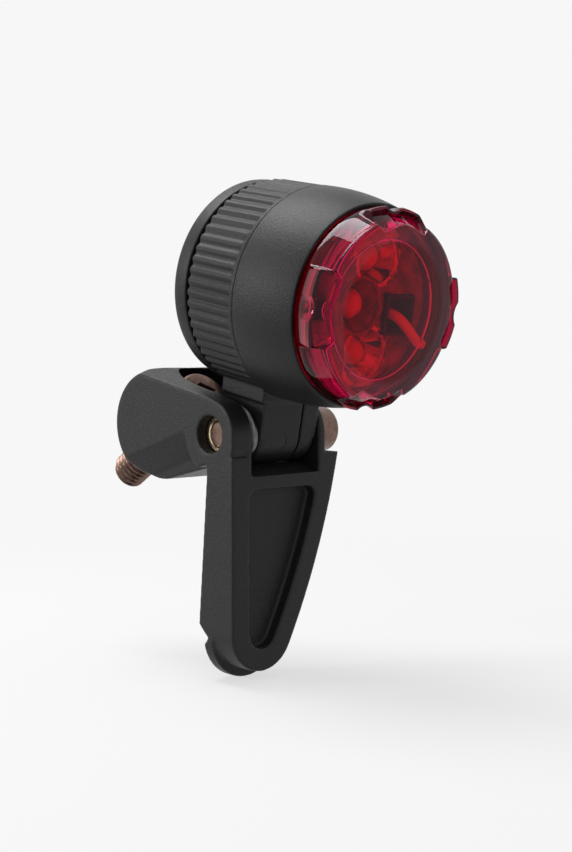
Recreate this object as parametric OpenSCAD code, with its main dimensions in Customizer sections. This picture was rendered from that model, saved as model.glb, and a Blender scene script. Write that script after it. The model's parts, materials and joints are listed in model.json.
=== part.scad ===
// Bicycle rear light on a tilting bracket: a round battery lamp, held by a ribbed split band
// whose hinge knuckle sits between the cheeks of a moulded bracket with one mounting bolt.
// Millimetres. The lens faces -Y, +Z is up, the origin is on the bolt axis at its seat face.

/* [Lamp body] */
// Outside radius of the ribbed band and of the barrel where they meet
body_r = 16.3; // [15.7:0.1:18]
// Width of the ribbed band along the lamp axis
band_w = 10.4; // [9.6:0.1:12]
// Wall of the band from its bore to the top of the ribs
band_wall = 2.3; // [1.8:0.1:2.7]
// Number of ribs around the band
rib_count = 60; // [40:2:72]
// Depth of the valleys between the ribs
rib_h = 0.45; // [0.2:0.05:0.7]
// Plain collar of the band in front of the ribs
collar_w = 0.8; // [0.4:0.1:1.6]
// Length of the barrel in front of the band
barrel_l = 11; // [10:0.1:13]
// How far the barrel tapers from the band to its front rim
rim_drop = 1.35; // [1:0.05:1.6]
// Thickness of the barrel's front rim around the lens
rim_wall = 0.5; // [0.4:0.05:0.6]
// Wall of the barrel's tail inside the band
tail_wall = 1.35; // [1.1:0.05:1.6]
// Width of the groove between the band and the rear cap
groove_w = 0.9; // [0.6:0.1:1.4]
// Length of the rear cap along the axis
cap_l = 3; // [2.6:0.1:4]
// Thickness of the rear cap's floor
cap_floor = 1.5; // [1.2:0.1:2]
// How far the rear cap lies inside the band's outside radius
cap_drop = 0.5; // [0.3:0.05:0.8]
// Round on the rear cap's back edge
cap_round = 0.9; // [0.4:0.1:1.2]

/* [Lens] */
// Distance from the barrel's rim to the shoulder of the lens
lens_side = 1.0; // [0.8:0.1:1.6]
// Height of the tapered side between the lens shoulder and its face
lens_taper_h = 4.2; // [3.8:0.1:4.6]
// How far that side tapers in
lens_taper_w = 1.3; // [1:0.1:1.6]
// Rise of the domed face at its middle
lens_dome = 0.4; // [0.2:0.1:0.8]
// Thickness of the lens face at its middle
lens_t = 3.6; // [3.2:0.1:3.9]
// Width of the face around the recess behind it
recess_edge = 3.1; // [2.7:0.1:4]
// Depth of that recess
lens_recess_h = 0.9; // [0.4:0.1:1.2]
// Length of the skirt that plugs into the barrel
skirt_l = 3.4; // [3:0.1:3.8]
// Number of finger pads
pad_count = 4; // [3:1:6]
// Angle that one finger pad covers
pad_angle = 44; // [30:1:50]
// How far the ears of the pads stand out from the lens
pad_proud = 0.3; // [0.2:0.1:0.6]
// Height of an ear's top above the lens shoulder
ear_h = 3.4; // [3:0.1:3.8]
// Height of the notch floor behind an ear above the lens shoulder
notch_floor_h = 1.2; // [0.9:0.1:1.5]
// Radius of the two finger scallops in the wall of each notch
scallop_r = 2.3; // [2:0.1:2.5]
// Turn that frees the lens from its bayonet
twist_angle = 30; // [20:1:40]
// Number of bayonet pegs in the barrel
peg_count = 3; // [2:1:4]
// Radius of a bayonet peg
peg_r = 0.6; // [0.4:0.05:0.7]

/* [Light unit] */
// Height of an emitter from the board to the tip of its dome
led_h = 8.6; // [7.5:0.1:9]
// Distance of the outer bowls' mouths from the reflector's rim
bowl_edge = 1.5; // [1:0.1:2]
// Room between the mouths of neighbouring bowls
bowl_web = 0.3; // [0.2:0.05:0.6]
// How much narrower an emitter is than the mouth of its bowl, in radius
bowl_slant = 0.9; // [0.7:0.1:1.2]
// Depth of a reflector bowl
bowl_h = 4.4; // [3:0.1:5]
// Thickness of the circuit board
board_t = 1.6; // [1:0.1:2]
// Outside size of the square socket beside the middle bowl
socket_w = 5.8; // [4.5:0.1:6]
// Wall of the square socket
socket_wall = 0.5; // [0.4:0.05:0.8]
// Room between the middle bowl's mouth and the socket
socket_web = 0.6; // [0.4:0.1:0.8]
// Distance of the socket's middle below the lamp axis
socket_down = 1.0; // [0.5:0.1:1.4]
// Radius of the light guide rod
guide_r = 0.75; // [0.5:0.05:0.9]

/* [Battery] */
// Wall of the battery tray around the coin cells
tray_wall = 2.6; // [2.4:0.1:3]
// Thickness of a coin cell
cell_t = 3.2; // [2.5:0.1:3.2]
// Room for the dished contact in front of the cells
spring_h = 1.9; // [1.2:0.1:2.4]
// Thickness of the contact plates
contact_t = 0.3; // [0.2:0.05:0.4]

/* [Hinge] */
// Height of the band's underside above the hinge pivot
neck_h = 6.2; // [6.2:0.1:9]
// How far the knuckle's front lies behind the band's collar
hinge_set = 0.2; // [0:0.1:0.8]
// Nose-down angle of the lamp as it is photographed
lamp_pitch = 11; // [8:1:20]
// Radius of the knuckle under the band
knuckle_r = 4.8; // [4.4:0.1:5]
// Rounding on the knuckle's side edges
knuckle_round = 0.9; // [0.4:0.1:1.2]
// Width of the wide left ear of the split knuckle
wide_ear_w = 8.15; // [7:0.05:9]
// Width of the thin right ear
thin_ear_w = 3.3; // [2.5:0.05:4]
// Width of the split between the ears
split_w = 0.3; // [0.2:0.05:0.6]
// Left edge of the knuckle, measured from the lamp axis
knuckle_left = 6.3; // [5.5:0.1:7]
// Room for the spring washer at the left of the knuckle
washer_gap = 2.1; // [1.4:0.1:2.4]
// Shank radius of the pivot screw
pivot_r = 2; // [1.5:0.1:2.2]
// Head radius of the pivot screw
pivot_head_r = 3.6; // [3.2:0.1:3.8]
// Head height of the pivot screw
pivot_head_h = 4.9; // [3:0.1:5.2]
// Key size of the socket in the pivot screw's head
pivot_key = 3; // [2:0.5:4]
// Radius of the threaded insert in the left cheek
insert_r = 2.8; // [2.6:0.1:3.2]
// Depth of the open bore outside the insert
insert_depth = 1.85; // [1:0.05:2.4]

/* [Bracket] */
// Radius of the cheeks about the pivot, and depth of the leg's front face
cheek_r = 5.3; // [5.1:0.1:6]
// Thickness of the left cheek
left_cheek_t = 4; // [3.4:0.1:5]
// Thickness of the right cheek
right_cheek_t = 1.5; // [1.2:0.1:2]
// Depth of the hinge notch below the pivot
notch_depth = 6.2; // [6:0.1:7.5]
// Height of the right shoulder below the pivot
shoulder_down = 3.3; // [3.2:0.1:5]
// Width of the right shoulder beside the cheek
shoulder_w = 2.9; // [2:0.1:4]
// Length of the leg from the pivot to the bottom of the foot
leg_l = 36; // [32:0.5:45]
// Radius of the rounded foot
foot_r = 6.2; // [5.5:0.1:7]
// Radius of the bowed right edge of the leg
edge_bow_r = 110; // [80:5:200]
// Thickness of the leg under the arm
leg_top_t = 6; // [5.4:0.1:7]
// Thickness of the leg at the top of the heel notch
leg_low_t = 7.9; // [7.4:0.1:9]
// Thickness of the leg's front plate, which ends in the rounded foot before the heel
plate_t = 4.6; // [4:0.1:5]
// Radius of the rounded heel
heel_r = 7; // [6.6:0.1:7.4]
// How far the heel reaches below the foot
heel_drop = 1.7; // [1.2:0.1:2]
// Height of the V notch above the foot's bottom
notch_up = 5; // [4.6:0.1:5.2]
// Depth of the V notch above the heel
heel_notch = 2; // [1.4:0.1:2.6]
// Distance of the front pocket from the leg's outline
pocket_inset = 3.5; // [2.5:0.1:4]
// Depth of the front pocket
pocket_depth = 1.9; // [0.8:0.1:3]
// Distance of the pocket's top edge below the notch floor
pocket_top = 2.2; // [1.5:0.1:4]
// Rounding of the pocket's upper corners
pocket_round = 1.5; // [1:0.1:2]

/* [Arm and bolt] */
// Distance from the pivot back to the middle of the arm's round end
arm_l = 15.1; // [14:0.1:18]
// Radius of the arm's round end
arm_end_r = 8.9; // [8.6:0.1:9.4]
// Height of the arm's end above the pivot
arm_rise = 1; // [0.5:0.1:1.4]
// Distance of the bolt axis from the arm's left face
bolt_inset = 9; // [8.4:0.1:10]
// Depth of the arm's underside below the pivot, where it meets the leg
arm_under = 4.5; // [4.2:0.1:5]
// Angle of the bolt below the horizontal
bolt_drop = 32; // [28:1:38]
// Height of the bolt axis above the middle of the arm's end
bolt_lift = 1.2; // [0.8:0.1:1.8]
// Shank radius of the mounting bolt
bolt_r = 3; // [2.5:0.1:3]
// How much thinner the plain shank in the bracket is than the thread, in radius
shank_in = 0.3; // [0.2:0.05:0.4]
// Shank length of the mounting bolt
bolt_l = 19; // [17:1:30]
// Chamfer at the tip of the mounting bolt
bolt_chamfer = 0.6; // [0.3:0.1:1]
// Head radius of the mounting bolt
bolt_head_r = 5; // [4.25:0.05:5.2]
// Head height of the mounting bolt
bolt_head_h = 6; // [4:0.1:6.2]
// Key size of the socket in the bolt's head
bolt_key = 5; // [4:0.5:6]
// Outside radius of the washer under the bolt head
bolt_washer_r = 6; // [5.4:0.1:6.2]
// Thickness of that washer
bolt_washer_t = 1.6; // [1:0.1:1.8]
// Distance from the middle of the arm's end to the bolt's seat face
seat_out = 9.2; // [9:0.1:10.5]
// Thickness of the arm between the washer and the seat face
arm_grip = 7; // [6:0.1:8.5]
// Radius of the seat boss around the bolt
seat_r = 5.2; // [4.5:0.1:6]
// Depth of the bevel around the arm's end, measured on its side face
arm_bevel = 0.7; // [0.4:0.1:1]
// Angle of that bevel
bevel_angle = 20; // [15:1:30]
// Rise of the crease between the arm's side face and its upper bevel
crease_rise = 12; // [10:1:15]
// How far the arm's lower flanks are set in
flank_in = 2.9; // [1.5:0.1:3.2]
// Height of the slanted facet above each set-in flank
flank_h = 3.6; // [2:0.1:4]
// Downward slope of that facet towards the back
flank_slope = 18; // [12:1:24]

/* [Fits] */
// Radial clearance of parts that turn or slide in each other
slip = 0.05; // [0.02:0.01:0.1]
// Gap between parts that pass each other
gap = 0.4; // [0.3:0.05:0.6]
// Side play of the knuckle between the cheeks
side_play = 0.2; // [0.1:0.05:0.4]

/* [Hidden] */
$fn = 96;
// Overlap that keeps cuts clean
eps = 0.01;
// Reach of cuts that run out of the part
reach = 60;
// Overrun of a cut past the face it leaves by
over = 1;

// Lamp radii, from the outside inwards
band_bore_r = body_r - band_wall;
tail_r = band_bore_r - slip;
bore_r = tail_r - tail_wall;
rim_r = body_r - rim_drop;
lens_seat_r = rim_r - rim_wall;
lens_r = lens_seat_r - slip;
skirt_step = 0.8;
skirt_bore_r = lens_seat_r - skirt_step;
skirt_r = skirt_bore_r - slip;
reflector_gap = 0.6;
reflector_r = bore_r - reflector_gap;
skirt_in_r = reflector_r + gap;
cap_r = body_r - cap_drop;
cell_r = bore_r - tray_wall;

// Light unit: three bowls side by side across the reflector, and the socket beside the middle one
bowl_r = (reflector_r - bowl_edge - bowl_web) / 3;
led_r = bowl_r - bowl_slant;
led_pitch = 2 * bowl_r + bowl_web;
socket_x = bowl_r + socket_web + socket_w / 2;

// Lamp stations along the axis, forward of the seam between band and barrel
cap_front = -band_w - groove_w;
cap_back = cap_front - cap_l;
cap_inside = cap_back + cap_floor;
seal_t = 0.5;
lens_sink = 1.3;
lens_seat_s = barrel_l - lens_sink;
flange_s = lens_seat_s + seal_t + slip;
shoulder_s = barrel_l + lens_side;
face_s = shoulder_s + lens_taper_h;
face_r = lens_r - lens_taper_w;
lens_recess_r = face_r - recess_edge;
apex_s = face_s + lens_dome;
skirt_end = flange_s - skirt_l;
plate_s = apex_s - lens_t - lens_recess_h;
peg_up = 1.2;
peg_s = skirt_end + peg_up;
tray_floor = 1;
cell_s = cap_inside + tray_floor + contact_t;
board_back = cell_s + 2 * cell_t + spring_h;
board_front = board_back + board_t;
lens_air = 2.8;
reflector_front = plate_s - lens_air;
ogive_start = 1;
ogive_r = (pow(barrel_l - ogive_start, 2) + pow(rim_drop, 2)) / (2 * rim_drop);

// Hinge stations across the lamp; the lamp axis is at zero
knuckle_x0 = -knuckle_left;
split_x = knuckle_x0 + wide_ear_w;
knuckle_x1 = split_x + split_w + thin_ear_w;
notch_x0 = knuckle_x0 - washer_gap;
notch_x1 = knuckle_x1 + side_play;
left_x = notch_x0 - left_cheek_t;
right_x = notch_x1 + right_cheek_t;
shoulder_x = right_x + shoulder_w;
axis_h = body_r + neck_h;
hinge_back = collar_w + hinge_set + knuckle_r;
notch_r = knuckle_r + 2 * gap;
pivot_end_x = left_x + insert_depth;

// Leg outline: the foot circle, and the bow of the right edge that touches it from outside
leg_front = -cheek_r;
foot = [left_x + foot_r, foot_r - leg_l];
shoulder = [shoulder_x, -shoulder_down];
function toward(a, b) = (b - a) / norm(b - a);
chord = norm(foot - shoulder);
bow_in_r = edge_bow_r - foot_r;
bow_along = (pow(edge_bow_r, 2) - pow(bow_in_r, 2) + pow(chord, 2)) / (2 * chord);
bow_off = sqrt(pow(edge_bow_r, 2) - pow(bow_along, 2));
chord_dir = toward(shoulder, foot);
bow_mid = shoulder + bow_along * chord_dir + bow_off * [chord_dir[1], -chord_dir[0]];

// Bolt: its direction, the direction square to it, and its stations in the plane of the arm
bolt_x = left_x + bolt_inset;
bolt_dir = [cos(bolt_drop), -sin(bolt_drop)];
bolt_up = [sin(bolt_drop), cos(bolt_drop)];
arm_end = [arm_l, arm_rise];
seat = arm_end + bolt_lift * bolt_up + seat_out * bolt_dir;
recess_r = bolt_washer_r + gap;
bolt_out = bolt_l - bolt_washer_t - arm_grip;
arm_x1 = left_x + 2 * bolt_inset;

// Moves what is drawn about the hinge pivot to the part's own origin
module placed() translate([-bolt_x, -seat[0], -seat[1]]) children();
// Draws about the lamp axis: local -Y is forward and zero is the seam
module at_lamp() placed() rotate([lamp_pitch, 0, 0]) translate([0, -hinge_back, axis_h]) children();
// Local Z becomes the forward lamp axis
module forward() rotate([90, 0, 0]) children();
// Turns a section about the lamp axis: x is the radius, y the station
module turned() forward() rotate_extrude() children();
// A ring section between two radii and two stations
module ring(r0, r1, s0, s1) translate([r0, s0]) square([r1 - r0, s1 - s0]);
// Part of a turned ring, between two angles about the lamp axis
module ring_sector(r0, r1, s0, s1, a0, a1)
    forward() rotate([0, 0, a0]) rotate_extrude(angle = a1 - a0) ring(r0, r1, s0, s1);
// A cylinder along the lamp axis, at a place across it
module along(r, s0, s1, at = [0, 0]) forward() translate([at[0], at[1], s0]) cylinder(r = r, h = s1 - s0);
// A cylinder across the hinge, along X
module across(r, x0, x1) translate([x0, 0, 0]) rotate([0, 90, 0]) cylinder(r = r, h = x1 - x0);
// Extrudes a side view (back, up) from one X to another
module side_extrude(x0, x1) translate([x0, 0, 0]) rotate([90, 0, 90]) linear_extrude(x1 - x0) children();
// Extrudes a front view (right, up) from one Y to another
module front_extrude(y0, y1) translate([0, y1, 0]) rotate([90, 0, 0]) linear_extrude(y1 - y0) children();
// Local Z becomes the bolt axis, zero at the seat face
module at_bolt() translate([bolt_x, seat[0], seat[1]]) rotate([-90 - bolt_drop, 0, 0]) children();

// Points along an arc, from one angle to another
function arc(mid, r, a0, a1, steps = 24) =
    [for (i = [0:steps]) mid + r * [cos(a0 + (a1 - a0) * i / steps), sin(a0 + (a1 - a0) * i / steps)]];
function angle_to(a, b) = atan2(b[1] - a[1], b[0] - a[0]);

// Front view of the leg below a level, drawn in by an inset: left edge, foot and bowed right edge
bow_steps = 12;
function leg_outline(top, inset = 0) =
    let (bow_r = edge_bow_r - inset, a0 = angle_to(bow_mid, foot), a1 = asin((top - bow_mid[1]) / bow_r))
    concat([[left_x + inset, top]], arc(foot, foot_r - inset, 180, 360 + a0),
        arc(bow_mid, bow_r, a0 + (a1 - a0) / bow_steps, a1, bow_steps - 1));

// Side view of the leg: thicker towards the heel, with a V notch above the rounded heel
heel_step = 1;
heel = [left_x + heel_r, heel_r - leg_l - heel_drop];
heel_back = leg_front + leg_low_t - heel_step;
notch_tip = [leg_front + leg_low_t - heel_notch, notch_up - leg_l];
leg_side = concat([[leg_front, -shoulder_down], [leg_front + leg_top_t, -shoulder_down],
        [leg_front + leg_top_t, -notch_depth],
        [leg_front + leg_low_t, notch_tip[1] + heel_notch], notch_tip],
    [[notch_tip[0], -leg_l - over], [leg_front, -leg_l - over]]);
// Side view of what the V notch leaves of the heel
heel_side = [[leg_front, notch_tip[1]], notch_tip - [slip, 0],
    notch_tip + [heel_notch, -heel_notch], [notch_tip[0] + heel_notch, -reach], [leg_front, -reach]];

module leg() {
    intersection() {
        front_extrude(leg_front, leg_front + leg_low_t + over) polygon(leg_outline(-shoulder_down));
        side_extrude(left_x - over, shoulder_x + over) polygon(leg_side);
    }
    intersection() {
        front_extrude(leg_front + plate_t, heel_back) translate(heel) circle(heel_r);
        side_extrude(left_x - over, foot[0] + foot_r - over) polygon(heel_side);
    }
}

// The pocket in the leg's front: the outline drawn in, with a level top and round corners
pocket_z = -notch_depth - pocket_top;
pocket_low = leg_outline(pocket_z - pocket_round, pocket_inset);
pocket_right = pocket_low[len(pocket_low) - 1][0] - pocket_round;
pocket_left = left_x + pocket_inset + pocket_round;
pocket_outline = concat(pocket_low,
    arc([pocket_right, pocket_z - pocket_round], pocket_round, 0, 90, 8),
    arc([pocket_left, pocket_z - pocket_round], pocket_round, 90, 180, 8));

// Side view of the left cheek and arm: a taper from the cheek's round top to the larger round end
arm_len = norm(arm_end);
arm_turn = atan2(arm_end[1], arm_end[0]);
arm_lean = acos((cheek_r - arm_end_r) / arm_len);
arm_side = concat([[leg_front, -arm_under]],
    arc([0, 0], cheek_r, 180, arm_turn + arm_lean),
    arc(arm_end, arm_end_r, arm_turn + arm_lean, arm_turn - arm_lean, 48),
    [[0, -arm_under]]);

// Side view of the right cheek, down into the leg
leg_back_a = acos((leg_front + leg_top_t) / cheek_r);
right_cheek_side = concat([[leg_front, -notch_depth - over]], arc([0, 0], cheek_r, 180, -leg_back_a, 48),
    [[leg_front + leg_top_t, -notch_depth - over]]);

// Side view of the notch that the knuckle turns in
notch_side = concat([[-reach, reach], [-reach, -notch_depth], [0, -notch_depth]],
    arc([0, 0], notch_r, -90, 0), [[notch_r, reach]]);

// Bevels of the arm's left edge: one that widens from the cheek to the end, and one around the end
module arm_bevels() {
    slope = tan(bevel_angle);
    rotate([crease_rise, 0, 0]) translate([left_x, 0, cheek_r]) front_extrude(-reach, reach)
        polygon([[-over, -over * slope], [bolt_inset, bolt_inset * slope], [-over, reach]]);
    translate([left_x, arm_end[0], arm_end[1]]) rotate([arm_turn - arm_lean, 0, 0]) rotate([90, 0, 90])
        rotate_extrude(angle = 2 * arm_lean)
            polygon([[arm_end_r - arm_bevel - over * slope, -over], [arm_end_r + over, -over],
                [arm_end_r + over, (arm_bevel + over) / slope]]);
}

// What is cut from the arm's lower left flank: a slanted facet over an upright face
module arm_flank() {
    flank_start = 1.1;
    translate([left_x, cheek_r + flank_start, 0]) rotate([-flank_slope, 0, 0])
        front_extrude(-reach, reach) polygon([[-over, 0], [0, 0], [flank_in, -flank_h], [flank_in, -reach],
            [-over, -reach]]);
}

// Mirrors what is drawn at the arm's left side to its right side
module both_flanks() {
    children();
    translate([2 * bolt_x, 0, 0]) mirror([1, 0, 0]) children();
}

module arm() {
    cheek_boss = 0.5;
    difference() {
        side_extrude(left_x, arm_x1) polygon(arm_side);
        both_flanks() {
            arm_bevels();
            difference() {
                arm_flank();
                across(cheek_r + cheek_boss, left_x - over, left_x + left_cheek_t);
            }
        }
    }
    at_bolt() translate([0, 0, -arm_grip]) cylinder(r = seat_r, h = arm_grip);
}

module bracket() color("#2c2c2e") placed() difference() {
    union() {
        leg();
        side_extrude(notch_x1, right_x) polygon(right_cheek_side);
        arm();
    }
    side_extrude(notch_x0, notch_x1) polygon(notch_side);
    front_extrude(leg_front - over, leg_front + pocket_depth) polygon(pocket_outline);
    across(insert_r + slip, left_x - over, notch_x0 + over);
    across(pivot_r + slip, notch_x1 - over, right_x + over);
    across(pivot_head_r + gap, right_x, shoulder_x + over);
    at_bolt() translate([0, 0, -arm_grip - reach]) cylinder(r = recess_r, h = reach);
    at_bolt() translate([0, 0, -arm_grip - over]) cylinder(r = bolt_r + slip, h = arm_grip + 2 * over);
}

// A hexagon socket with its key size across the flats; local Z runs into it
module key_socket(key, depth) translate([0, 0, -over])
    cylinder(r = key / sqrt(3), h = depth + over, $fn = 6);

module mounting_bolt() color("#6e5550") placed() at_bolt() {
    difference() {
        union() {
            translate([0, 0, bolt_out - bolt_l - bolt_head_h]) cylinder(r = bolt_head_r, h = bolt_head_h);
            translate([0, 0, bolt_out - bolt_l]) cylinder(r = bolt_r - shank_in, h = bolt_l - bolt_out);
            cylinder(r = bolt_r, h = bolt_out - bolt_chamfer);
            translate([0, 0, bolt_out - bolt_chamfer])
                cylinder(r1 = bolt_r, r2 = bolt_r - bolt_chamfer, h = bolt_chamfer);
        }
        translate([0, 0, bolt_out - bolt_l - bolt_head_h]) key_socket(bolt_key, bolt_head_h / 2);
    }
}

module bolt_washer() color("#8a7a74") placed() at_bolt() translate([0, 0, -arm_grip - bolt_washer_t])
    difference() {
        cylinder(r = bolt_washer_r, h = bolt_washer_t);
        translate([0, 0, -over]) cylinder(r = bolt_r + slip, h = bolt_washer_t + 2 * over);
    }

module pivot_screw() color("#85706a") placed() difference() {
    union() {
        across(pivot_r, pivot_end_x, right_x + eps);
        across(pivot_head_r, right_x, right_x + pivot_head_h);
    }
    translate([right_x + pivot_head_h, 0, 0]) rotate([0, -90, 0]) key_socket(pivot_key, pivot_head_h / 2);
}

module pivot_insert() color("#b08d4a") placed() difference() {
    across(insert_r, pivot_end_x, notch_x0);
    across(pivot_r + slip, left_x, notch_x0 + over);
}

// A dished steel washer that loads the hinge, so that the lamp stays where it is set
module hinge_spring_washer() color("#b9b9bb") placed() {
    hub_r = pivot_r + 2 * slip;
    leaf_t = 0.7;
    translate([notch_x0, 0, 0]) rotate([0, 90, 0]) rotate_extrude()
        polygon([[hub_r, 0], [hub_r + leaf_t, 0], [knuckle_r - leaf_t / 2, washer_gap - leaf_t],
            [knuckle_r - leaf_t / 2, washer_gap - slip], [knuckle_r - 1.5 * leaf_t, washer_gap - slip],
            [hub_r, leaf_t]]);
}

// Outline of the ribbed band: rounded ribs just below the collar, with the valleys rib_h deep
rib_steps = 6;
rib_r = body_r - slip;
rib_outline = [for (i = [0:rib_count * rib_steps - 1])
    let (a = 360 * i / (rib_count * rib_steps), wave = 0.5 - 0.5 * cos(a * rib_count))
    (rib_r - rib_h * wave * wave) * [cos(a), sin(a)]];

// The knuckle turned about the pivot, with rounded side edges
module knuckle() translate([knuckle_x0, 0, 0]) rotate([0, 90, 0]) rotate_extrude() {
    w = knuckle_x1 - knuckle_x0;
    square([knuckle_r - knuckle_round, w]);
    translate([0, knuckle_round]) square([knuckle_r, w - 2 * knuckle_round]);
    for (y = [knuckle_round, w - knuckle_round]) translate([knuckle_r - knuckle_round, y])
        intersection() {
            circle(knuckle_round);
            translate([-knuckle_r + knuckle_round, -knuckle_round]) square([knuckle_r, 2 * knuckle_round]);
        }
}

module mount_band() color("#303032") at_lamp() difference() {
    saddle_w = 0.7;
    saddle_h = neck_h - cheek_r - gap;
    neck_top = band_bore_r + slip;
    neck_r = knuckle_r - slip;
    union() {
        turned() ring(band_bore_r - over, body_r, -collar_w, 0);
        forward() translate([0, 0, -band_w]) linear_extrude(band_w - collar_w / 2) polygon(rib_outline);
        translate([0, hinge_back, -axis_h]) {
            knuckle();
            translate([knuckle_x0, -neck_r, 0])
                cube([knuckle_x1 - knuckle_x0, neck_r + band_w - hinge_back, axis_h - neck_top]);
        }
        translate([knuckle_x0 - saddle_w, collar_w, -body_r - saddle_h])
            cube([knuckle_x1 - knuckle_x0 + 2 * saddle_w, band_w - collar_w, body_r + saddle_h - neck_top]);
    }
    turned() ring(0, band_bore_r, -band_w - over, over);
    translate([split_x, -over, -axis_h - reach]) cube([split_w, band_w + 2 * over, reach + axis_h]);
    translate([0, hinge_back, -axis_h]) across(pivot_r + slip, knuckle_x0 - over, knuckle_x1 + over);
}

module barrel() color("#2e2e30") at_lamp() {
    turned() {
        ring(bore_r, tail_r, cap_inside + slip, eps);
        intersection() {
            translate([body_r - ogive_r, ogive_start]) circle(ogive_r, $fn = 360);
            difference() {
                ring(bore_r, body_r, 0, barrel_l);
                ring(0, skirt_bore_r, skirt_end - gap, barrel_l + over);
                ring(0, lens_seat_r, lens_seat_s, barrel_l + over);
            }
        }
    }
    for (i = [0:peg_count - 1]) forward() rotate([0, 0, 90 + 360 * i / peg_count])
        translate([skirt_in_r + gap, 0, peg_s]) rotate([0, 90, 0])
            cylinder(r = peg_r, h = skirt_bore_r + peg_r - skirt_in_r - gap);
}

module rear_cap() color("#29292b") at_lamp() turned() difference() {
    dish_rim = 3;
    union() {
        ring(0, cap_r - cap_round, cap_back, cap_front);
        ring(0, cap_r, cap_back + cap_round, cap_front);
        intersection() {
            translate([cap_r - cap_round, cap_back + cap_round]) circle(cap_round);
            ring(0, cap_r, cap_back, cap_front);
        }
    }
    ring(0, tail_r + slip, cap_inside, cap_front + over);
    // Shallow dish in the back face
    ring(0, cap_r - dish_rim, cap_back - over, cap_back + cap_floor / 4);
}

rear_seal_h = 0.6;
module rear_seal() color("#161616") at_lamp() turned()
    ring(tail_r + slip, tail_r + slip + rear_seal_h, cap_front, -band_w);

module front_seal() color("#161616") at_lamp() turned()
    ring(skirt_bore_r + slip, lens_r, lens_seat_s, lens_seat_s + seal_t);

// Finger pads at the lens edge: each is a notch with two scallops in its wall, behind a flared ear
notch_in = 0.7;
notch_r_in = face_r - notch_in;
notch_floor = shoulder_s + notch_floor_h;
module finger_notch() {
    scallop_depth = 1.2;
    ring_sector(notch_r_in, lens_r + over, notch_floor, apex_s + over, -pad_angle / 2, pad_angle / 2);
    for (side = [-1, 1]) forward() rotate([0, 0, side * pad_angle / 4])
        translate([notch_r_in + scallop_r - scallop_depth, 0, notch_floor])
            cylinder(r = scallop_r, h = apex_s + over - notch_floor);
}

module finger_ear() difference() {
    ear_r = lens_r + pad_proud;
    ear_w = 0.9;
    ear_foot = barrel_l + gap;
    ear_lap = 0.5;
    ear_angle = pad_angle + 2 * ear_lap;
    dip_r = 3;
    dip_depth = 0.4;
    forward() rotate([0, 0, -ear_angle / 2]) rotate_extrude(angle = ear_angle)
        polygon([[face_r, ear_foot], [lens_r - slip, ear_foot], [ear_r, shoulder_s + ear_h],
            [ear_r - ear_w, shoulder_s + ear_h], [face_r, notch_floor - slip]]);
    along(dip_r, ear_foot - over, face_s, [ear_r + dip_r - dip_depth, 0]);
}

// Repeats what is drawn at the right of the lens for each finger pad
module each_pad() for (i = [0:pad_count - 1]) rotate([0, 360 * i / pad_count, 0]) children();

module lens() color("#a3142b") at_lamp() difference() {
    dome_r = (pow(face_r, 2) + pow(lens_dome, 2)) / (2 * lens_dome);
    turn_room = asin((peg_r + gap) / skirt_in_r);
    union() {
        difference() {
            turned() {
                ring(0, skirt_r, skirt_end, flange_s + eps);
                ring(0, lens_r, flange_s, shoulder_s);
                polygon([[0, shoulder_s - eps], [lens_r, shoulder_s - eps], [lens_r, shoulder_s],
                    [face_r, face_s], [0, face_s]]);
                intersection() {
                    translate([0, apex_s - dome_r]) circle(dome_r, $fn = 360);
                    ring(0, face_r, face_s - eps, apex_s);
                }
            }
            each_pad() finger_notch();
        }
        each_pad() finger_ear();
    }
    turned() {
        ring(0, skirt_in_r, skirt_end - over, plate_s);
        ring(0, lens_recess_r, plate_s - eps, plate_s + lens_recess_h);
    }
    // Bayonet slots: in from the skirt's end, then around
    for (i = [0:peg_count - 1]) {
        a = 90 + 360 * i / peg_count;
        ring_sector(skirt_in_r - over, skirt_r + over, peg_s - peg_r - slip, peg_s + peg_r + slip,
            a - twist_angle - turn_room, a + turn_room);
        ring_sector(skirt_in_r - over, skirt_r + over, skirt_end - over, peg_s,
            a - twist_angle - turn_room, a - twist_angle + turn_room);
    }
}

led_places = [[0, led_pitch], [0, 0], [0, -led_pitch]];
socket_at = [socket_x, -socket_down];
screw_count = 3;
screw_r = 0.8;
screw_head_r = 1.3;
screw_head_h = 0.9;
screw_l = 5;
screw_turn = 30;
screw_tip_room = 0.5;
screw_ring_r = (cell_r + bore_r) / 2;
function screw_at(i) =
    let (a = screw_turn + 360 * i / screw_count) screw_ring_r * [cos(a), sin(a)];

module reflector() color("#7d2a3a") at_lamp() difference() {
    reflector_wall = 1;
    bowl_floor = 1.2;
    body_s = reflector_front - bowl_h - bowl_floor;
    turned() {
        ring(reflector_r - reflector_wall, reflector_r, board_front, reflector_front);
        ring(0, reflector_r, body_s, reflector_front);
    }
    for (at = led_places) {
        along(led_r + 2 * slip, body_s - over, reflector_front, at);
        forward() translate([at[0], at[1], reflector_front - bowl_h])
            cylinder(r1 = led_r + 2 * slip, r2 = bowl_r, h = bowl_h + eps);
    }
    forward() translate([socket_at[0], socket_at[1], board_front]) linear_extrude(reach)
        square(socket_w + 2 * slip, center = true);
    for (i = [0:screw_count - 1])
        along(screw_head_r + gap, board_front - over, board_front + screw_head_h + gap, screw_at(i));
}

module leds() color("#d0182c") at_lamp() for (at = led_places) {
    flange_h = 1;
    flange_w = 0.4;
    forward() translate([at[0], at[1], board_front]) rotate_extrude() {
        square([led_r + flange_w, flange_h]);
        square([led_r, led_h - led_r]);
        translate([0, led_h - led_r]) intersection() {
            circle(led_r);
            square(led_r);
        }
    }
}

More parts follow.
